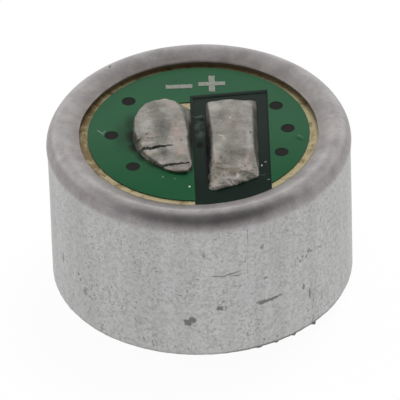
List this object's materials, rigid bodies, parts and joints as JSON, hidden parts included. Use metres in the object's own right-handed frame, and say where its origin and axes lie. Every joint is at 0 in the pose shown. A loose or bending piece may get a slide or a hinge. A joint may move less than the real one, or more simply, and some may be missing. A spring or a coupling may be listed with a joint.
{
  "type": "electret microphone capsule",
  "caption": "Round aluminium microphone capsule whose rim is rolled over a green circuit board with a ground and an output solder terminal; sound enters through a felt-covered face.",
  "frame": {"origin": "under the middle of the dust felt, on the axis of the can", "axes": "+Z along the can's axis towards the soldered board, +X from the ground terminal to the output terminal"},
  "size_m": [0.0098, 0.0096, 0.006],
  "materials": {
    "drawn_aluminium": "matt, drawn, stained",
    "felt": "pressed felt",
    "brass": "turned",
    "film": "metallised film",
    "spacer_film": "polyester film",
    "holder_plastic": "moulded",
    "nickel_plate": "plated",
    "laminate": "glass-epoxy laminate",
    "plated_copper": "tarnished gold flash",
    "copper": "plated copper",
    "solder_mask": "satin coat",
    "via_ink": "plugging ink",
    "solder": "dull, oxidised",
    "ceramic": "fired",
    "moulded_epoxy": "moulded"
  },
  "bodies": {
    "root": {"can": "drawn_aluminium", "dust_felt": "felt", "diaphragm_ring": "brass", "diaphragm": "film", "spacer": "spacer_film", "electret_film": "film", "back_plate": "brass", "plate_holder": "holder_plastic", "gate_ring": "nickel_plate", "circuit_board": "laminate", "ground_copper": "plated_copper", "output_land": "plated_copper", "via_barrels": "copper", "via_plugs": "via_ink", "output_via": "copper", "solder_mask": "solder_mask", "ground_solder": "solder", "output_solder": "solder", "gate_land": "plated_copper", "inner_ground": "plated_copper", "drain_copper": "plated_copper", "jfet_body": "moulded_epoxy", "jfet_leads": "nickel_plate", "capacitor_bodies": "ceramic", "capacitor_end_caps": "nickel_plate", "inner_solder_joints": "solder"}
  },
  "joints": []
}
